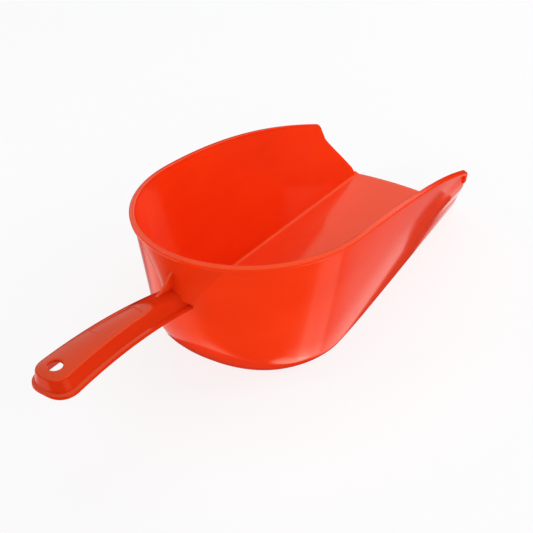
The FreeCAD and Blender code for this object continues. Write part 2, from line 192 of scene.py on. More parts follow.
# ------------------------------------------------------------------ front edge of the side
def front_edge():
    """The side wall's front edge as (x, z): from the rim, round the corner, down the upright
    and through a small hollow to the slant. Also the slant's gain in x per mm down."""
    x0 = TIP_X - TIP_RADIUS
    slope = (rim_z(x0 + .05) - rim_z(x0 - .05)) / .1
    start = math.atan2(-slope, 1.0)
    points = []
    for a in np.linspace(start, math.pi / 2, 9):
        along = (math.sin(a) - math.sin(start)) / (1 - math.sin(start))
        down = (math.cos(start) - math.cos(a)) / math.cos(start)
        points.append((x0 + TIP_RADIUS * along, rim_z(x0) + TIP_RADIUS * (slope - 1) * down))
    shoulder_z, corner_z = rim_z(TIP_X) - TIP_DROP, points[-1][1]
    shoulder_x = TIP_X + TIP_LEAN

    def upright(z):
        return shoulder_x - TIP_LEAN * (z - shoulder_z) / (corner_z - shoulder_z), z
    points += [upright(z) for z in (47.0, 46.0, UPRIGHT_LOW)]
    slant = (MOUTH_X - shoulder_x) / (shoulder_z - WALL)
    # the hollow is a quadratic curve over these three points
    p0 = upright(UPRIGHT_LOW)
    p1 = (shoulder_x, shoulder_z + .2)
    p2 = (shoulder_x + slant * HOLLOW_DROP, shoulder_z - HOLLOW_DROP)
    for i in range(1, 7):
        t = i / 6.0
        points.append(tuple((1 - t) ** 2 * a + 2 * t * (1 - t) * b + t * t * c
                            for a, b, c in zip(p0, p1, p2)))
    return points, slant


EDGE, SLANT = front_edge()


def slant_x(z):
    return EDGE[-1][0] + SLANT * (EDGE[-1][1] - z)


def bow_x(y):
    return MOUTH_X + BOW * (1 - (y / BOW_HALF) ** 2)


def line_rows():
    """(share of the way down the wall's straight part, x of the front edge) for each row."""
    slant_end = 7.6
    slant_z = np.linspace(EDGE[-1][1], slant_end, SLANT_ROWS)[1:]
    rows = [(0.0, EDGE[0][0])]
    for x, z in EDGE[1:] + [(slant_x(z), z) for z in slant_z]:
        column = side_column(x)
        low = tangent_length(column.radius, column.angle) * math.sin(column.angle)
        share = min((column.top - z) / (column.top - low), 1.0)
        if share > rows[-1][0] + 1e-3:
            rows.append((share, x))
    rows[-1] = (1.0, rows[-1][1])
    return rows


def bottom_front_x(part, v, grow):
    """Front end of a row of the bottom radius or of the floor."""
    point = wall_point(side_column(MOUTH_X), "arc", v if part == "arc" else 1.0, grow)
    if part == "floor":
        return bow_x(point[1] * (1 - v))
    return min(slant_x(point[2]), bow_x(point[1]))


def bowl_grid(grow):
    """Rows from the rim to the middle of the floor, columns from the +Y front edge round the
    back to the -Y front edge."""
    rows = [("line", share, x) for share, x in line_rows()]
    for part, count in (("arc", ARC_ROWS), ("floor", FLOOR_ROWS)):
        for i in range(count):
            v = (i + 1) / count
            rows.append((part, v, bottom_front_x(part, v, grow)))
    backs = [back_column(math.pi / 2 * i / BACK_COLUMNS) for i in range(BACK_COLUMNS + 1)]

    def point(column, part, v, shrink_x):
        if part == "floor":
            return wall_point(column, "arc", 1.0, grow) * (shrink_x, 1 - v, 1)
        return wall_point(column, part, v, grow, RIM_CUT)
    half = []
    for part, v, x_front in rows:
        row = [point(side_column(s * (x_front - EDGE_ROUND)), part, v, 1)
               for s in np.linspace(1, 0, SIDE_COLUMNS + 1)[:-1]]
        row += [point(column, part, v, 1 - v) for column in backs]
        row[-1][1] = 0.0
        half.append(row)
    return both_halves(np.array(half), 1)


# ------------------------------------------------------------------ mesh helpers
def new_object(name, points, faces):
    """points in mm. Welds, makes the normals point out and shades smooth."""
    mesh = bpy.data.meshes.new(name)
    bm = bmesh.new()
    verts = [bm.verts.new(Vector(p) * MM) for p in points]
    for face in faces:
        bm.faces.new([verts[i] for i in face])
    bmesh.ops.remove_doubles(bm, verts=bm.verts[:], dist=2e-3 * MM)
    bmesh.ops.dissolve_degenerate(bm, edges=bm.edges[:], dist=1e-4 * MM)
    loose = [v for v in bm.verts if not v.link_faces]
    bmesh.ops.delete(bm, geom=loose, context="VERTS")
    bmesh.ops.recalc_face_normals(bm, faces=bm.faces[:])
    for face in bm.faces:
        face.smooth = True
    bm.to_mesh(mesh)
    bm.free()
    return add_object(name, mesh)


def add_object(name, data):
    ob = bpy.data.objects.new(name, data)
    bpy.context.scene.collection.objects.link(ob)
    return ob


def grid_faces(rows, cols, start=0, flip=False):
    faces = []
    for i in range(rows - 1):
        for j in range(cols - 1):
            a = start + i * cols + j
            quad = [a, a + 1, a + cols + 1, a + cols]
            faces.append(quad[::-1] if flip else quad)
    return faces


def shell(outer, inner):
    """Points and faces of two matching grids, not yet joined along their edges."""
    rows, cols = outer.shape[:2]
    points = list(outer.reshape(-1, 3)) + list(inner.reshape(-1, 3))
    return points, grid_faces(rows, cols) + grid_faces(rows, cols, rows * cols, True)


def tube(name, rings):
    """Closed solid through equal rings of points, capped at both ends."""
    m = len(rings[0])
    ids = [list(range(i * m, (i + 1) * m)) for i in range(len(rings))]
    faces = [[r0[k], r1[k], r1[(k + 1) % m], r0[(k + 1) % m]]
             for r0, r1 in zip(ids, ids[1:]) for k in range(m)]
    faces += [ids[0][::-1], ids[-1]]
    return new_object(name, [p for ring in rings for p in ring], faces)


# ------------------------------------------------------------------ bowl
def edge_direction(grids, i, j):
    """Unit direction out of the wall's free edge at one point of the grids' border."""
    last = grids[0].shape[1] - 1
    d = np.zeros(3)
    for grid in grids:
        if j == 0:
            d = d + grid[i, 0] - grid[i, 1]
        elif j == last:
            d = d + grid[i, last] - grid[i, last - 1]
        if i == 0:
            d = d + unit(grid[0, j] - grid[1, j]) * (1.0 if j in (0, last) else 2.0)
    return unit(d)


def make_bowl():
    outer, inner = bowl_grid(0.0), bowl_grid(-WALL)
    rows, cols = outer.shape[:2]
    points, faces = shell(outer, inner)
    # the free edge: up the +Y front, along the rim, down the -Y front
    border = [(i, 0) for i in range(rows - 1, 0, -1)]
    border += [(0, j) for j in range(cols)]
    border += [(i, cols - 1) for i in range(1, rows)]
    strips = []
    for i, j in border:
        middle = (outer[i, j] + inner[i, j]) / 2
        across = (outer[i, j] - inner[i, j]) / 2
        out = edge_direction((outer, inner), i, j)
        out = unit(out - across * (out @ across) / (across @ across))
        strip = [i * cols + j]
        for k in range(1, EDGE_STEPS):
            t = math.pi * k / EDGE_STEPS
            strip.append(len(points))
            points.append(middle + across * math.cos(t) + out * EDGE_ROUND * math.sin(t))
        strip.append(rows * cols + i * cols + j)
        strips.append(strip)
    for s, t in zip(strips, strips[1:]):
        faces += [[s[k], t[k], t[k + 1], s[k + 1]] for k in range(EDGE_STEPS)]
    return new_object("bowl_visual", points, faces)


# ------------------------------------------------------------------ rim lip
LEG_FOOT_Z = 43.0              # the lip's front legs end here
LEG_STEP = 0.6
LEG_END_ROUND = 1.6
RIM_STATIONS, BACK_STATIONS = 75, 70


def lip_section():
    """(out from the wall's outer face, up from the rim). The last few points are inside the
    wall."""
    points = [(-0.55, -3.0), (0.35, -3.02)]
    points += arc(1.32, -2.55, 0.48, np.linspace(-90, 0, 5))
    points += [(1.81, -1.6)]
    points += arc(0.78, -1.03, 1.03, np.linspace(0, 90, 8))
    points += [(0.2, 0.015), (-0.6, 0.015)]
    points += arc(-1.46, -0.60, 0.60, np.linspace(90, 180, 7))
    points += [(-2.05, -1.5), (-2.03, -2.1), (-1.5, -2.25), (-1.0, -2.3)]
    return points


def side_stations():
    """Lip stations up the front leg and back along the side's rim to x = 0."""
    leg = [(x, z) for x, z in reversed(EDGE) if z > LEG_FOOT_Z]
    leg.insert(0, (leg[0][0] + .3, LEG_FOOT_Z))
    line = []
    for (x0, z0), (x1, z1) in zip(leg, leg[1:]):
        n = max(1, int(math.hypot(x1 - x0, z1 - z0) / LEG_STEP))
        line += [(x0 + (x1 - x0) * k / n, z0 + (z1 - z0) * k / n) for k in range(n)]
    line.append(leg[-1])
    line += [(x, rim_z(x)) for x in np.linspace(leg[-1][0] - 2.2, 0, RIM_STATIONS)]

    def face(x, z):
        return wall_point(side_column(x), "z", z)
    stations = []
    step = 0.05
    for k, (x, z) in enumerate(line):
        along_x = face(x + step, z) - face(x - step, z)
        along_z = face(x, z + step) - face(x, z - step)
        normal = facing(np.cross(along_z, along_x), (0, 1, 0))
        along = unit(face(*line[min(k + 1, len(line) - 1)]) - face(*line[max(k - 1, 0)]))
        up = facing(np.cross(along, normal), (1, 0, 1))
        stations.append((face(x, z), normal, up))
    return stations


def back_stations():
    """Lip stations round the back, ending on the mid-plane."""
    def face(q, dz=0.0):
        column = back_column(q)
        return wall_point(column, "z", column.top + dz)
    stations = []
    step = 0.004
    for q in np.linspace(0, math.pi / 2, BACK_STATIONS)[1:]:
        p = face(q)
        if q < math.pi / 2 - step:
            along = unit(face(q + step) - face(q - step))
        else:
            along = np.array([0.0, -1.0, 0.0])
            p[1] = 0.0
        normal = facing(np.cross(along, p - face(q, -1.0)), (p[0], p[1], 0))
        up = facing(np.cross(along, normal), (0, 0, 1))
        stations.append((p, normal, up))
    return stations


def make_lip():
    """Each station: a point on the wall's outer face, the outward normal and the direction
    across the edge."""
    path = both_halves(np.array(side_stations() + back_stations()), 0)
    lengths = [0.0, *np.cumsum(np.linalg.norm(np.diff(path[:, 0], axis=0), axis=1))]
    rings = []
    for (p, normal, up), s in zip(path, lengths):
        full = round_off(min(s, lengths[-1] - s), LEG_END_ROUND)
        # faint unevenness of the moulded lip, well under a tenth of a millimetre
        wobble = 0.03 * math.sin(s * 0.11) + 0.02 * math.sin(s * 0.047 + 1.3)
        ring = []
        for out, rise in lip_section():
            out2 = out if out < 0 else out * (0.12 + 0.88 * full)
            rise2 = rise if rise < -2.2 else rise - 0.5 * (1 - full)
            if out > 1.0:
                out2 += wobble
            ring.append(p + normal * out2 + up * rise2)
        rings.append(ring)
    return tube("lip_visual", rings)


# ------------------------------------------------------------------ handle
HANDLE_ROOT, HANDLE_END = -87.0, -206.0
POLE_X = -194.0                            # centre of the rounded end and of the hang hole
TAPER_START, TAPER_END = -88.7, -201.7
SKIRT_FLARE, SKIRT_TALL = 3.4, 12.5        # the sides spread by the flare over this height
END_FLARE, END_INSET = 0.6, 1.8            # at the very end: flare, and top corner set in
END_POWER = 2.5                            # squareness of the rounded end
HANDLE_WALL, CROWN = 2.2, 1.3
TOP_CORNER = 1.5                           # the crown stops this far inside the corner
PANEL_START, PANEL_END = -126.0, -160.0    # blank recessed panel in the top
PANEL_DEEP, PANEL_CORNER = 0.6, 1.2
PANEL_STEP = (.2, .07, -.07, -.2)          # stations across the panel's end steps
FLANGE, FLANGE_Z, FLANGE_ROUND = 1.5, -12.0, 0.5     # turned-out foot of the skirt
# (height, distance outside the skirt) from the skirt out to the flange
FLANGE_CURVE = (
    (-9.5, .06), (-9.62, .22), (-9.74, .55), (-9.84, .9), (-9.96, 1.18),
    (-10.14, 1.4), (-10.4, FLANGE), (-10.8, FLANGE), (-11.6, FLANGE),
)
INNER_CORNER = 1.0
FAN_STEPS = 24
HOLE_RADIUS, HOLE_STEPS = 4.5, 56
MOUTH_ROUND, LOWER_ROUND = 0.7, 0.4


def handle_t(x):
    return (TAPER_START - x) / (TAPER_START - TAPER_END)


def handle_half(x):
    return 5.6 + 5.6 * handle_t(x)


def handle_top(x):
    t = handle_t(x)
    return 86.9 + 34.0 * t - 18.6 * t * t


def panel_half(x):
    share = (PANEL_START - x) / (PANEL_START - PANEL_END)
    return 4.9 + 1.4 * min(max(share, 0.0), 1.0)


def panel_drop(x, y):
    """How far the panel lowers the top: a rounded rectangle with a soft step."""
    dx = max(PANEL_END - x, x - PANEL_START) + PANEL_CORNER
    dy = abs(y) - panel_half(x) + PANEL_CORNER
    distance = math.hypot(max(dx, 0.0), max(dy, 0.0)) + min(max(dx, dy), 0.0) - PANEL_CORNER
    return PANEL_DEEP * smooth((0.2 - distance) / 0.4)


def handle_section(half_width, flare, panel):
    """Half a section, from the middle of the top to the middle of the hollow, as (distance
    out, height from the top's corner). Also the number of rows on the crown."""
    lean = flare / SKIRT_TALL
    crown_out, crown_z = half_width - TOP_CORNER, 0.13 * CROWN
    panel = min(panel, crown_out - 0.8)
    outs = [panel * f for f in (0, .2, .4, .6, .8, .92)]
    outs += [panel + d for d in (-.22, -.07, .07, .22)]
    outs.append(panel + .22 + .5 * (crown_out - panel - .22))
    rows = [(out, CROWN - (CROWN - crown_z) * (out / crown_out) ** 2) for out in outs]
    crown_rows = len(rows)

    # the rounded corner touches the crown's end and the skirt's line; they meet at the knee
    fall = 2 * (CROWN - crown_z) / crown_out
    knee_out = (half_width - lean * crown_z - lean * fall * crown_out) / (1 - lean * fall)
    knee_z = crown_z - fall * (knee_out - crown_out)
    knee = np.array([knee_out, knee_z])
    crown_end = np.array([crown_out, crown_z])
    length = np.linalg.norm(crown_end - knee)
    to_crown, down = unit(crown_end - knee), unit([lean, -1.0])
    theta = math.acos(float(to_crown @ down))
    radius = length * math.tan(theta / 2)
    skirt_start = knee + down * length
    centre = knee + unit(to_crown + down) * (radius / math.sin(theta / 2))
    a0, a1 = (math.atan2(p[1] - centre[1], p[0] - centre[0]) for p in (crown_end, skirt_start))
    rows += arc(*centre, radius, np.degrees(np.linspace(a0, a1, 8)))

    def skirt(z):
        return knee_out + (knee_z - z) * lean
    rows += [(skirt(z), z) for z in np.linspace(skirt_start[1], -9.36, 8)[1:]]
    rows += [(skirt(z) + out, z) for z, out in FLANGE_CURVE]
    foot = skirt(FLANGE_Z)
    rows += arc(foot + FLANGE - FLANGE_ROUND, FLANGE_Z, FLANGE_ROUND, (-15, -40, -65, -90))
    # up the inside of the skirt and across the underside of the crown
    inset = HANDLE_WALL * math.sqrt(1 + lean * lean)
    rows += arc(foot - inset + FLANGE_ROUND, FLANGE_Z, FLANGE_ROUND, (270, 240, 210, 180))
    inner_z = crown_z - HANDLE_WALL - 1.1
    rows += [(skirt(z) - inset, z) for z in np.linspace(FLANGE_Z, inner_z, 6)[1:]]
    inner_out = skirt(inner_z) - inset - INNER_CORNER
    rows += arc(inner_out, inner_z, INNER_CORNER, (20, 45, 70))
    crest = CROWN - HANDLE_WALL
    for f in (.8, .55, .28, 0.0):
        rows.append((inner_out * f, crest - (crest - inner_z - INNER_CORNER) * f * f))
    return rows, crown_rows


def handle_grid():
    """Stations from the root, round the end and back along the -Y side; rows across."""
    xs = [
        *np.linspace(HANDLE_ROOT, PANEL_START + .5, 36),
        *(PANEL_START + d for d in PANEL_STEP),
        *np.linspace(PANEL_START - .6, PANEL_START - 1.6, 4),
        *np.linspace(PANEL_START - 2.4, PANEL_END + 2.4, 24),
        *np.linspace(PANEL_END + 1.6, PANEL_END + .6, 4),
        *(PANEL_END + d for d in PANEL_STEP),
        *np.linspace(PANEL_END - .6, POLE_X, 26),
    ]
    half = []
    for x in xs:
        rows, crown_rows = handle_section(handle_half(x), SKIRT_FLARE, panel_half(x))
        half.append([(x, out, handle_top(x) + z - (panel_drop(x, out) if k < crown_rows else 0))
                     for k, (out, z) in enumerate(rows)])
    reach = POLE_X - HANDLE_END - END_INSET
    for i in range(1, FAN_STEPS + 1):
        phi = math.pi / 2 * (1 + i / FAN_STEPS)
        c, s = math.cos(phi), math.sin(phi)
        half_width = (abs(c / reach) ** END_POWER
                      + abs(s / handle_half(POLE_X)) ** END_POWER) ** (-1 / END_POWER)
        flare = SKIRT_FLARE * s * s + END_FLARE * c * c
        rows, _ = handle_section(half_width, flare, panel_half(POLE_X))
        half.append([(POLE_X + out * c, out * s if i < FAN_STEPS else 0.0,
                      handle_top(POLE_X) + z) for out, z in rows])
    return both_halves(np.array(half), 0)


def make_hole_cutter():
    """A spool that cuts the hang hole and rounds its mouth above and below."""
    top = handle_top(POLE_X) + CROWN
    profile = [(7.0, top + 3.0), (5.6, top + .5)]
    profile += arc(HOLE_RADIUS + MOUTH_ROUND, top - 0.35 - MOUTH_ROUND, MOUTH_ROUND,
                   range(90, 181, 15))
    profile += [(HOLE_RADIUS, top - 1.9)]
    profile += arc(HOLE_RADIUS + LOWER_ROUND, top - 2.05, LOWER_ROUND, range(180, 271, 30))
    profile += [(5.6, top - 3.4), (5.6, top - 6.0)]
    n = HOLE_STEPS
    angles = [2 * math.pi * (k + .5) / n for k in range(n)]
    points = [(POLE_X + r * math.cos(a), r * math.sin(a), z) for r, z in profile for a in angles]
    faces = []
    for i in range(len(profile) - 1):
        for k in range(n):
            near, far = i * n + k, i * n + (k + 1) % n
            faces.append([near, far, far + n, near + n])
    faces.append(list(range(n)))
    faces.append(list(range(len(points) - n, len(points)))[::-1])
    return new_object("hole_cutter", points, faces)


def bake(ob):
    """Replaces the mesh by its modified result."""
    depsgraph = bpy.context.evaluated_depsgraph_get()
    mesh = bpy.data.meshes.new_from_object(ob.evaluated_get(depsgraph), depsgraph=depsgraph)
    old = ob.data
    ob.modifiers.clear()
    ob.data = mesh
    mesh.name = ob.name
    bpy.data.meshes.remove(old)
    for polygon in mesh.polygons:
        polygon.use_smooth = True


def make_handle():
    grid = handle_grid()
    stations, rows = grid.shape[:2]
    faces = grid_faces(stations, rows)
    # the root end, hidden in the bowl's wall: outer rows joined to inner rows
    for base in (0, (stations - 1) * rows):
        a, b = base, base + rows - 1
        while b - a > 2:
            faces.append([a, a + 1, b - 1, b])
            a, b = a + 1, b - 1
    ob = new_object("handle_visual", list(grid.reshape(-1, 3)), faces)
    cutter = make_hole_cutter()
    mod = ob.modifiers.new("hang_hole", "BOOLEAN")
    mod.operation = "DIFFERENCE"
    mod.object = cutter
    mod.solver = "EXACT"
    bake(ob)
    bpy.data.objects.remove(cutter, do_unlink=True)
    return ob


# ------------------------------------------------------------------ pad behind the bowl
PAD_TOP, PAD_FOOT = 110.6, 75.4
PAD_ROUND_Z = 80.0                         # below this the pad's outline closes in
PAD_STEP, PAD_SUNK, PAD_INSIDE = 0.75, 0.12, 1.0
PAD_SWELL, PAD_SWELL_TOP = 0.25, 110.0     # swell per mm below its top


def pad_half(z):
    """Half width of the pad."""
    t = (max(z, PAD_ROUND_Z) - 82.9) / 27.3
    return 13.3 + 14.9 * t + 7.7 * t * t - 0.16 * max(PAD_ROUND_Z - z, 0.0) ** 2


def back_wall_column(y, z):
    """The back column whose outer face is at half width y at height z."""
    low, high = 0.15, math.pi / 2
    for _ in range(40):
        middle = (low + high) / 2
        if wall_point(back_column(middle), "z", z)[1] > y:
            low = middle
        else:
            high = middle
    return back_column((low + high) / 2)


def make_pad():
    """A raised pad on the back wall, swelling out where the handle joins."""
    heights = [*np.linspace(PAD_FOOT, PAD_FOOT + 1.2, 5), *np.linspace(PAD_FOOT + 1.8, PAD_TOP, 44)]
    border = (.94, .965, .985, 1.0)
    shares = [-f for f in reversed(border)] + list(np.linspace(-.9, .9, 45)) + list(border)
    outer, inner = [], []
    for z in heights:
        half = pad_half(z)
        swell = (PAD_SWELL * max(0.0, PAD_SWELL_TOP - z) * smooth((z - PAD_FOOT) / 7.0))
        row_out, row_in = [], []
        for f in shares:
            y = half * f
            column = back_wall_column(abs(y), z)
            p = wall_point(column, "z", z)
            p[1] = y
            dx, dy = column.outward
            out = np.array([dx, dy if y >= 0 else -dy, 0.0])
            step = PAD_STEP * round_off((1 - abs(f)) * half, 0.6) * round_off(z - PAD_FOOT, 0.8)
            bell = (1 - f * f) ** 1.35
            row_out.append(p + out * (step - PAD_SUNK + swell * bell))
            row_in.append(p - out * PAD_INSIDE)
        outer.append(row_out)
        inner.append(row_in)
    points, faces = shell(np.array(outer), np.array(inner))
    rows, cols = len(heights), len(shares)
    loop = [i * cols for i in range(rows)]
    loop += [(rows - 1) * cols + j for j in range(1, cols)]
    loop += [i * cols + cols - 1 for i in range(rows - 2, -1, -1)]
    loop += list(range(cols - 2, 0, -1))
    for a, b in zip(loop, loop[1:] + loop[:1]):
        faces.append([a, b, rows * cols + b, rows * cols + a])
    return new_object("pad_visual", points, faces)


# ------------------------------------------------------------------ rib over the handle root
RIB_HALF, RIB_ROUND, RIB_STEPS = 1.0, 0.45, 40
# (x, z) of the hollowed sloping edge, from the handle's top up to the pad
RIB_EDGE = (
    (-109.5, handle_top(-109.5) + CROWN - .35), (-105.4, 93.6), (-101.4, 94.8),
    (-97.8, 97.3), (-94.9, 99.8), (-90.2, 102.0),
)


def curve_through(control, steps):
    """Catmull-Rom curve through the points."""
    pts = [np.array(p) for p in control]
    full = [2 * pts[0] - pts[1]] + pts + [2 * pts[-1] - pts[-2]]
    curve = []
    for k in range(steps + 1):
        t = k / steps * (len(pts) - 1)
        i = min(int(t), len(pts) - 2)
        u = t - i
        p0, p1, p2, p3 = full[i:i + 4]
        curve.append(.5 * (2 * p1 + (p2 - p0) * u + (2 * p0 - 5 * p1 + 4 * p2 - p3) * u * u
                           + (-p0 + 3 * p1 - 3 * p2 + p3) * u ** 3))
    return curve


def make_rib():
    """An upright web on the mid-plane, rounded along its sloping edge."""
    edge = curve_through(RIB_EDGE, RIB_STEPS)
    flat = RIB_HALF - RIB_ROUND
    over = arc(-flat, 0, RIB_ROUND, (180, 150, 120, 90)) + arc(flat, 0, RIB_ROUND, (90, 60, 30, 0))
    rings = []
    for k, e in enumerate(edge):
        along = unit(edge[min(k + 1, RIB_STEPS)] - edge[max(k - 1, 0)])
        normal = facing(np.array([-along[1], along[0]]), (0, 1))
        centre = e - normal * RIB_ROUND
        base = np.array([e[0] + 3.0 * (k / RIB_STEPS) + 1.0,
                         min(handle_top(e[0]) - 1.0, e[1] - 1.6)])
        # each section runs from one face, over the rounded edge, to the other face
        middle = (base + centre) / 2
        section = [(base, -RIB_HALF * 1.05), (middle, -RIB_HALF * 1.02)]
        section += [(centre + normal * rise, y) for y, rise in over]
        section += [(middle, RIB_HALF * 1.02), (base, RIB_HALF * 1.05)]
        rings.append([(p[0], y, p[1]) for p, y in section])
    return tube("rib_visual", rings)


# ------------------------------------------------------------------ shader helpers
class Graph:
    """Adds nodes to one shader tree. A value is either a number or a socket to link."""

    def __init__(self, tree):
        self.tree = tree

    def feed(self, socket, value):
        if isinstance(value, bpy.types.NodeSocket):
            self.tree.links.new(value, socket)
        else:
            socket.default_value = value

    def node(self, kind, inputs=(), **settings):
        node = self.tree.nodes.new("ShaderNode" + kind)
        for key, value in settings.items():
            setattr(node, key, value)
        for key, value in dict(inputs).items():
            self.feed(node.inputs[key], value)
        return node

    def math(self, operation, *values, clamp=False):
        inputs = dict(enumerate(values))
        return self.node("Math", inputs, operation=operation, use_clamp=clamp).outputs[0]

    def dot(self, vector, direction):
        node = self.node("VectorMath", {0: vector, 1: direction}, operation="DOT_PRODUCT")
        return node.outputs["Value"]

    def mapping(self, vector, **inputs):
        return self.node("Mapping", {"Vector": vector, **inputs}).outputs["Vector"]

    def noise(self, vector, scale, detail, rough):
        inputs = {"Scale": scale, "Detail": detail, "Roughness": rough, "Vector": vector}
        return self.node("TexNoise", inputs).outputs["Fac"]

    def ramp(self, factor, stops):
        node = self.node("ValToRGB", {0: factor})
        elements = node.color_ramp.elements
        elements[0].position, elements[0].color = stops[0]
        elements[1].position, elements[1].color = stops[-1]
        for position, color in stops[1:-1]:
            elements.new(position).color = color
        return node.outputs["Color"]

    def rise(self, value, low, high, to=1.0):
        """Smooth step from 0 at low to the value "to" at high."""
        inputs = {"From Min": low, "From Max": high, "To Min": 0.0, "To Max": to, "Value": value}
        node = self.node("MapRange", inputs, interpolation_type="SMOOTHSTEP")
        return node.outputs["Result"]

    def bump(self, height, strength, distance, **inputs):
        inputs.update(Strength=strength, Distance=distance, Height=height)
        return self.node("Bump", inputs).outputs["Normal"]


# ------------------------------------------------------------------ plastic
# (position, linear red, green, blue) along the mix of clouds and flow streaks
PLASTIC_STOPS = (
    (0.30, 0.820, 0.0290, 0.0022),
    (0.50, 0.865, 0.0345, 0.0030),
    (0.70, 0.900, 0.0420, 0.0042),
)


def plastic(name, painted_shade_scale):
    """Below 1, the last argument darkens the red and deepens its hue: painted shade, for pieces
    that stand in shade.
    """
    mat = bpy.data.materials.new(name)
    mat.use_nodes = True
    mat.node_tree.nodes.clear()
    g = Graph(mat.node_tree)
    out = g.node("OutputMaterial")
    bsdf = g.node("BsdfPrincipled", {
        "IOR": 1.50,
        "Specular Tint": (1.0, 0.92, 0.42, 1),
        "Subsurface Weight": 0.06,
        "Subsurface Radius": (1.0, 0.22, 0.06),
        "Subsurface Scale": 0.004,
    })
    g.feed(out.inputs["Surface"], bsdf.outputs[0])
    place = g.mapping(g.node("TexCoord").outputs["Object"])

    # colour: clouds, and melt flow streaks stretched along the length
    flow = g.mapping(place, Scale=(3.0, 9.0, 16.0))
    cloud = g.noise(place, scale=14.0, detail=4.0, rough=0.55)
    streak = g.noise(flow, scale=2.2, detail=5.0, rough=0.6)
    mix = g.math("ADD", g.math("MULTIPLY", cloud, 0.5), g.math("MULTIPLY", streak, 0.5))
    # below 1 the red is darkened and deepened here: painted shade
    stops = [(at, (red * painted_shade_scale, green * painted_shade_scale ** 1.3, blue * painted_shade_scale, 1))
             for at, red, green, blue in PLASTIC_STOPS]
    g.feed(bsdf.inputs["Base Color"], g.ramp(mix, stops))

    # roughness: long faint rub marks and fine dulling
    rubbed = g.mapping(place, Scale=(6.0, 90.0, 60.0), Rotation=(0.15, 0.1, 0.22))
    scuff = g.noise(rubbed, scale=6.0, detail=6.0, rough=0.7)
    smear = g.noise(place, scale=24.0, detail=6.0, rough=0.6)
    rough = g.math("ADD", g.math("MULTIPLY", g.math("POWER", scuff, 3.0), 0.22),
                   g.math("MULTIPLY", smear, 0.09))
    g.feed(bsdf.inputs["Roughness"], g.math("ADD", rough, 0.05, clamp=True))

    # relief: orange peel of the moulded skin, and hair-fine scratches
    peel = g.noise(place, scale=210.0, detail=2.0, rough=0.5)
    wave = g.noise(place, scale=38.0, detail=2.0, rough=0.4)
    height = g.math("ADD", g.math("MULTIPLY", wave, 1.0), g.math("MULTIPLY", peel, 0.12))
    skin = g.bump(height, strength=0.10, distance=0.0004)
    scratched = g.bump(scuff, strength=0.04, distance=0.0001, Normal=skin)
    g.feed(bsdf.inputs["Normal"], scratched)
    return mat


# ------------------------------------------------------------------ what the plastic mirrors
# (azimuth from +X towards +Y, elevation, radius, softness, strength), angles in degrees
SOFTBOXES = (
    (-64, -66, 9, 6, 1.60),       # bright table on the -Y side
    (-50, -54, 8, 2.5, 0.95),
    (-36, -50, 10, 12, 0.25),
    (-14, -49, 9, 8, 0.35),
    (2, -40, 9, 9, 0.22),
    (100, -52, 34, 16, 0.50),     # wide panel below the +Y side
    (158, -66, 6, 7, 0.45),       # below, towards the handle
    (37, -37, 12, 12, 0.85),      # table beyond the mouth on the +Y side: lights the outlines
    (-90, -25, 12, 12, 0.45),     # faint panels beside the two sides
    (90, -25, 12, 12, 0.45),
)


def reflection_group():
    """Direction in, brightness out: an even pale room above, soft panels below."""
    tree = bpy.data.node_groups.new("studio_reflection", "ShaderNodeTree")
    tree.interface.new_socket("Direction", in_out="INPUT", socket_type="NodeSocketVector")
    tree.interface.new_socket("Value", in_out="OUTPUT", socket_type="NodeSocketFloat")
    group_in, group_out = tree.nodes.new("NodeGroupInput"), tree.nodes.new("NodeGroupOutput")
    g = Graph(tree)
    ray = g.node("VectorMath", {0: group_in.outputs[0]}, operation="NORMALIZE").outputs[0]
    z = g.node("SeparateXYZ", {0: ray}).outputs["Z"]
    total = g.math("ADD", g.rise(z, 0.04, 0.34, to=1.15), 0.015)
    for azimuth, elevation, radius, softness, strength in SOFTBOXES:
        a, e = math.radians(azimuth), math.radians(elevation)
        centre = (math.cos(e) * math.cos(a), math.cos(e) * math.sin(a), math.sin(e))
        panel = g.rise(g.dot(ray, centre), math.cos(math.radians(radius + softness)),
                       math.cos(math.radians(radius - softness * .3)), to=strength)
        total = g.math("ADD", total, panel)
    g.feed(group_out.inputs[0], total)
    return tree


# ------------------------------------------------------------------ floor
FLOOR_SIZE_HALF, FLOOR_Z = 6.0, -0.0002
# the table's shade under the bowl, as the plastic mirrors it
SHADE_BACK, SHADE_HALF = 0.098, 0.0604     # half ellipse at the back, straight sides
SHADE_WIDER = 0.0085                       # it widens by this towards the mouth
SHADE_DEPTH = 0.93


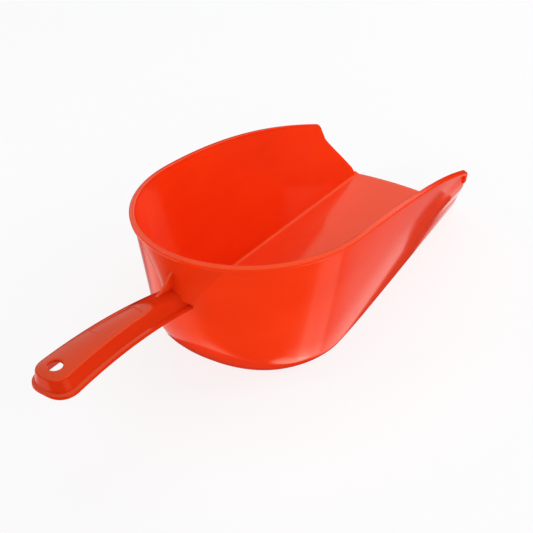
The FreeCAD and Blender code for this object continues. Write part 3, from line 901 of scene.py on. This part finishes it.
def mirrored_table(g):
    """Brightness of the mirrored table by place: dark in the scoop's own shade, and dimming
    away from its sides."""
    position = g.node("NewGeometry").outputs["Position"]
    spot = g.node("SeparateXYZ", {0: position})
    x = spot.outputs["X"]
    y = g.math("ABSOLUTE", spot.outputs["Y"])
    back = g.math("DIVIDE", g.math("MINIMUM", x, 0.0), SHADE_BACK)
    side = g.math("DIVIDE", y, SHADE_HALF)
    squares = g.math("ADD", g.math("MULTIPLY", back, back), g.math("MULTIPLY", side, side))
    share = g.math("SQRT", squares)
    inside = g.math("MULTIPLY", g.math("SUBTRACT", 1.0, share), SHADE_HALF)
    inside = g.math("ADD", inside, g.rise(x, 0.112, 0.158, to=SHADE_WIDER))
    shade = g.rise(inside, -0.0007, 0.0007)
    # the shade ends at the mouth, and spares the middle strip near it
    shade = g.math("MULTIPLY", shade, g.math("SUBTRACT", 1.0, g.rise(x, 0.1945, 0.1975)))
    strip = g.math("MULTIPLY", g.rise(g.math("SUBTRACT", 0.0512, y), -0.0006, 0.0006),
                   g.rise(x, 0.118, 0.130))
    shade = g.math("MULTIPLY", shade, g.math("SUBTRACT", 1.0, strip))
    lit = g.math("SUBTRACT", 1.0, g.math("MULTIPLY", shade, SHADE_DEPTH))
    # brightest beside the scoop, except behind it where the brightness stays even
    minus_y = g.math("MULTIPLY", y, -1.0)
    glow = g.math("ADD", g.rise(minus_y, -0.105, -0.075, to=0.16),
                  g.rise(minus_y, -0.076, -0.060, to=0.75))
    glow = g.math("SUBTRACT", glow, 0.58)
    glow = g.math("ADD", g.math("MULTIPLY", glow, g.rise(x, -0.07, -0.03)), 1.0)
    return g.math("MULTIPLY", lit, glow)


def floor_material(studio):
    """Pale and nearly even to the camera; glossy rays see the studio panels instead."""
    mat = bpy.data.materials.new("pale_floor")
    mat.use_nodes = True
    nodes = mat.node_tree.nodes
    g = Graph(mat.node_tree)
    bsdf = nodes["Principled BSDF"]
    place = g.node("TexCoord").outputs["Object"]
    clouds = g.noise(place, scale=3.0, detail=3.0, rough=0.5)
    color = g.ramp(clouds, [(0.3, (0.87, 0.87, 0.875, 1)), (0.7, (0.89, 0.89, 0.895, 1))])
    g.feed(bsdf.inputs["Base Color"], color)
    g.feed(bsdf.inputs["Roughness"], 0.6)
    g.feed(bsdf.inputs["Specular IOR Level"], 0.2)

    path = g.node("LightPath")
    incoming = g.node("NewGeometry").outputs["Incoming"]
    ray = g.node("VectorMath", {0: incoming, "Scale": -1.0}, operation="SCALE").outputs[0]
    panels = g.node("Group", {0: ray}, node_tree=studio).outputs[0]
    mirrored = g.node("Emission", {"Strength": g.math("MULTIPLY", panels, mirrored_table(g))})

    # the even glow is stronger for the light that bounces onto the scoop
    bounce = g.math("MULTIPLY", path.outputs["Is Diffuse Ray"], 0.30)
    even = g.node("Emission", {"Color": (1.000, 1.001, 1.004, 1),
                               "Strength": g.math("ADD", bounce, 1.0)})
    ground = g.node("MixShader", {0: 0.82, 1: bsdf.outputs[0], 2: even.outputs[0]})
    surface = g.node("MixShader", {0: path.outputs["Is Glossy Ray"], 1: ground.outputs[0],
                                   2: mirrored.outputs[0]})
    g.feed(nodes["Material Output"].inputs["Surface"], surface.outputs[0])
    return mat


def make_floor():
    s, z = FLOOR_SIZE_HALF, FLOOR_Z
    mesh = bpy.data.meshes.new("floor")
    mesh.from_pydata([(-s, -s, z), (s, -s, z), (s, s, z), (-s, s, z)], [], [(0, 1, 2, 3)])
    return add_object("floor", mesh)


# ------------------------------------------------------------------ lights, world, camera
# name, place, point aimed at, side of the square, watts, colour
LAMPS = (
    ("key", (0.75, -1.15, 0.80), (0.10, 0, 0.03), 0.8, 6.8, (1, 0.985, 0.965)),
    ("mouth", (1.35, -0.15, 0.62), (0.05, 0, 0.02), 0.6, 3.8, (1, 0.99, 0.975)),
    ("left", (-1.2, -0.75, 0.55), (-0.05, 0, 0.05), 0.6, 2.5, (1, 1, 1)),
    ("behind", (-1.0, 1.0, 0.60), (-0.03, 0, 0.05), 0.6, 6.0, (1, 1, 1)),
    ("top", (0.12, 0.05, 1.30), (0.05, 0, 0.05), 1.0, 3.4, (1, 1, 1)),
)


def add_lamp(name, place, target, size, power, color):
    """A square soft light that glossy reflections don't show."""
    light = bpy.data.lights.new(name, "AREA")
    light.energy = power
    light.color = color
    light.shape = "RECTANGLE"
    light.size = light.size_y = size
    ob = add_object(name, light)
    ob.location = place
    ob.rotation_euler = (Vector(target) - Vector(place)).to_track_quat("-Z", "Y").to_euler()
    ob.visible_glossy = False


def make_world(studio):
    """Glossy rays see the studio panels, other rays an ambient light stronger from -Y, and
    the camera a nearly white background."""
    world = bpy.data.worlds.new("studio")
    bpy.context.scene.world = world
    world.use_nodes = True
    g = Graph(world.node_tree)
    ray = g.node("TexCoord").outputs["Generated"]
    path = g.node("LightPath").outputs
    panels = g.node("Group", {0: ray}, node_tree=studio).outputs[0]
    side = g.dot(ray, (0.10, -0.99, 0.0))
    ambient = g.math("ADD", g.math("MULTIPLY", side, 0.42), 0.47, clamp=True)
    ambient = g.math("MAXIMUM", ambient, g.math("MULTIPLY", path["Is Camera Ray"], 0.985))
    glossy = path["Is Glossy Ray"]
    strength = g.math("ADD", g.math("MULTIPLY", panels, glossy),
                      g.math("MULTIPLY", g.math("SUBTRACT", 1.0, glossy), ambient))
    background = world.node_tree.nodes["Background"]
    g.feed(background.inputs["Strength"], strength)
    g.feed(background.inputs["Color"], (1.0, 1.0, 1.0, 1))


CAMERA_PLACE = (-0.520992, -0.397847, 0.540963)
CAMERA_RIGHT = (0.576344, -0.816022, -0.043998)
CAMERA_UP = (0.512433, 0.318936, 0.797303)
CAMERA_BACK = (-0.636584, -0.482067, 0.601974)
SENSOR_WIDTH, FOCAL_LENGTH = 36.0, 81.050657       # mm


def make_camera():
    data = bpy.data.cameras.new("camera")
    data.sensor_fit = "HORIZONTAL"
    data.sensor_width = SENSOR_WIDTH
    data.lens = FOCAL_LENGTH
    data.clip_end = 50.0
    camera = add_object("camera", data)
    matrix = Matrix((CAMERA_RIGHT, CAMERA_UP, CAMERA_BACK)).transposed().to_4x4()
    matrix.translation = CAMERA_PLACE
    camera.matrix_world = matrix
    bpy.context.scene.camera = camera


# ------------------------------------------------------------------ build
# CAD piece, its maker, how much its red is darkened as painted shade
PIECES = (
    ("bowl_shell", make_bowl, 1.0),
    ("rim_lip", make_lip, 1.0),
    # the handle, pad and rib get a darker red as painted shade
    ("handle_channel", make_handle, 0.72),
    ("handle_root_pad", make_pad, 0.92),
    ("root_gusset", make_rib, 0.85),
)
built = [(piece, make(), painted_shade_scale) for piece, make, painted_shade_scale in PIECES]
for piece, ob, painted_shade_scale in built:
    ob.data.materials.clear()
    ob.data.materials.append(plastic("moulded_plastic_" + piece, painted_shade_scale))
    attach(ob, "root")
    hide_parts(piece)

floor = make_floor()
STUDIO = reflection_group()
floor.data.materials.append(floor_material(STUDIO))
for lamp in LAMPS:
    add_lamp(*lamp)
make_world(STUDIO)
make_camera()

bpy.context.scene.view_settings.view_transform = "Standard"
bpy.context.scene.view_settings.look = "None"
